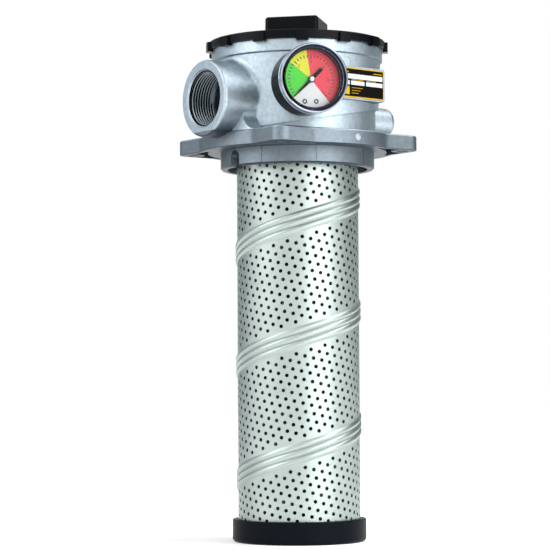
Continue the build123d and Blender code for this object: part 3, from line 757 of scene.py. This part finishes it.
studioSet = {
    "floorTone": "#f4f4f2", "floorLift": 0.45, "liftNear": 0.25, "liftFar": 1.2, "worldFill": 0.3,
    "lamps": [
        {"name": "keyLamp", "turn": 168, "distance": 1.7, "height": 0.9, "size": (1.1, 1.6), "power": 13},
        {"name": "fillLamp", "turn": 274, "distance": 1.8, "height": 0.4, "size": (1.5, 1.6), "power": 17},
        {"name": "topLamp", "turn": 318, "distance": 1.1, "height": 1.5, "size": (1.2, 1.2), "power": 13},
        {"name": "shadeLamp", "turn": 322, "distance": 0.9, "height": 1.1, "size": (0.3, 0.3), "power": 12,
         "matt": True},
    ],
    "cards": [
        {"name": "backLeftCard", "turn": 95, "distance": 1.3, "width": 1.0, "tone": "#a4acac"},
        {"name": "backRightCard", "turn": 12, "distance": 1.3, "width": 1.0, "tone": "#a2aca8"},
        {"name": "leftStrip", "turn": 121, "distance": 1.2, "width": 0.22, "tone": "#6f829c"},
        {"name": "rightUpperCard", "turn": 352, "distance": 1.2, "width": 1.5, "lift": 0.45, "depth": 1.0,
         "tone": "#252d33"},
        {"name": "topCard", "turn": 60, "distance": 0.5, "width": 1.2, "lift": 1.1, "depth": 0.8,
         "tone": "#59616b"},
    ],
}
cameraSet = {"turn": 233.0, "distance": 1617.0, "height": -178.0, "pitch": 2.978, "yaw": 0.63, "roll": -0.3,
             "lens": 137.45, "sensor": 36.0}


def polar(turn, distance, height):
    return Vector((distance * cos(radians(turn)), distance * sin(radians(turn)), height))


def paleFloor(s):
    bpy.ops.mesh.primitive_plane_add(size=12, location=(0, 0, cadBounds[0][2]))
    floor = bpy.context.object
    floor.name = "floor"
    material, tree, shader, place = newMaterial("paleFloor")
    speck = addNode(tree, "ShaderNodeTexNoise", {"Scale": perMm(4), "Detail": 2.0}, {"Vector": place})
    rough = addNode(tree, "ShaderNodeMapRange", {"To Min": 0.7, "To Max": 0.9},
                    {"Value": speck.outputs["Fac"]})
    shader.inputs["Base Color"].default_value = hexToLinear(s["floorTone"])
    tree.links.new(rough.outputs["Result"], shader.inputs["Roughness"])
    path = addNode(tree, "ShaderNodeLightPath")
    seen = addNode(tree, "ShaderNodeMath", {"operation": "MAXIMUM"},
                   {0: path.outputs["Is Camera Ray"], 1: path.outputs["Is Glossy Ray"]})
    away = addNode(tree, "ShaderNodeVectorMath", {"operation": "LENGTH"}, {0: place})
    spread = addNode(tree, "ShaderNodeMapRange", {"From Min": s["liftNear"], "From Max": s["liftFar"],
                     "To Min": s["floorLift"], "To Max": 1.0}, {"Value": away.outputs["Value"]})
    lift = addNode(tree, "ShaderNodeMath", {"operation": "MULTIPLY"},
                   {0: seen.outputs[0], 1: spread.outputs["Result"]})
    shader.inputs["Emission Color"].default_value = (1, 1, 1, 1)
    tree.links.new(lift.outputs[0], shader.inputs["Emission Strength"])
    floor.data.materials.append(material)


def studioWorld(s):
    world = bpy.data.worlds.new("studioWorld")
    bpy.context.scene.world = world
    world.use_nodes = True
    tree = world.node_tree
    path = addNode(tree, "ShaderNodeLightPath")
    seen = addNode(tree, "ShaderNodeMath", {"operation": "MAXIMUM"},
                   {0: path.outputs["Is Camera Ray"], 1: path.outputs["Is Glossy Ray"]})
    through = addNode(tree, "ShaderNodeMath", {"operation": "MAXIMUM"},
                      {0: seen.outputs[0], 1: path.outputs["Is Transmission Ray"]})
    level = addNode(tree, "ShaderNodeMapRange", {"To Min": s["worldFill"], "To Max": 1.0},
                    {"Value": through.outputs[0]})
    shader = tree.nodes["Background"]
    shader.inputs["Color"].default_value = (1, 1, 1, 1)
    tree.links.new(level.outputs["Result"], shader.inputs["Strength"])


def softLamp(lamp):
    data = bpy.data.lights.new(lamp["name"], "AREA")
    data.shape = "RECTANGLE"
    data.size, data.size_y = lamp["size"]
    data.energy = lamp["power"]
    place = polar(lamp["turn"], lamp["distance"], lamp["height"])
    piece = bpy.data.objects.new(lamp["name"], data)
    bpy.context.collection.objects.link(piece)
    aim = (Vector((0, 0, -0.1)) - place).to_track_quat("-Z", "Y")
    piece.matrix_world = Matrix.Translation(place) @ aim.to_matrix().to_4x4()
    piece.visible_glossy = not lamp.get("matt", False)


def darkCard(card):
    bpy.ops.mesh.primitive_plane_add(size=1)
    piece = bpy.context.object
    piece.name = card["name"]
    middle = Vector((0, 0, -0.05))
    place = polar(card["turn"], card["distance"], card.get("lift", -0.05))
    aim = (middle - place).to_track_quat("Z", "Y").to_matrix().to_4x4()
    size = Matrix.Diagonal((card["width"], card.get("depth", 1.4), 1, 1))
    moveMesh(piece, Matrix.Translation(place) @ aim @ size)
    material, tree, shader, spot = newMaterial(card["name"] + "Felt")
    shader.inputs["Base Color"].default_value = hexToLinear(card["tone"])
    shader.inputs["Roughness"].default_value = 0.9
    piece.data.materials.append(material)
    piece.visible_camera = False
    piece.visible_shadow = False
    piece.visible_diffuse = False


def takeCamera(s):
    data = bpy.data.cameras.new("mainCamera")
    data.lens = s["lens"]
    data.sensor_width = s["sensor"]
    camera = bpy.data.objects.new("mainCamera", data)
    bpy.context.collection.objects.link(camera)
    place = polar(s["turn"], s["distance"] * mm, s["height"] * mm)
    look = radians(s["turn"] + 180 + s["yaw"])
    rise = radians(s["pitch"])
    forward = Vector((cos(look) * cos(rise), sin(look) * cos(rise), sin(rise)))
    aim = forward.to_track_quat("-Z", "Y").to_matrix().to_4x4()
    camera.matrix_world = Matrix.Translation(place) @ aim @ Matrix.Rotation(radians(s["roll"]), 4, "Z")
    bpy.context.scene.camera = camera


paleFloor(studioSet)
studioWorld(studioSet)
for settings in studioSet["lamps"]:
    softLamp(settings)
for settings in studioSet["cards"]:
    darkCard(settings)
takeCamera(cameraSet)
bpy.context.scene.view_settings.view_transform = "Standard"
print("studio done")
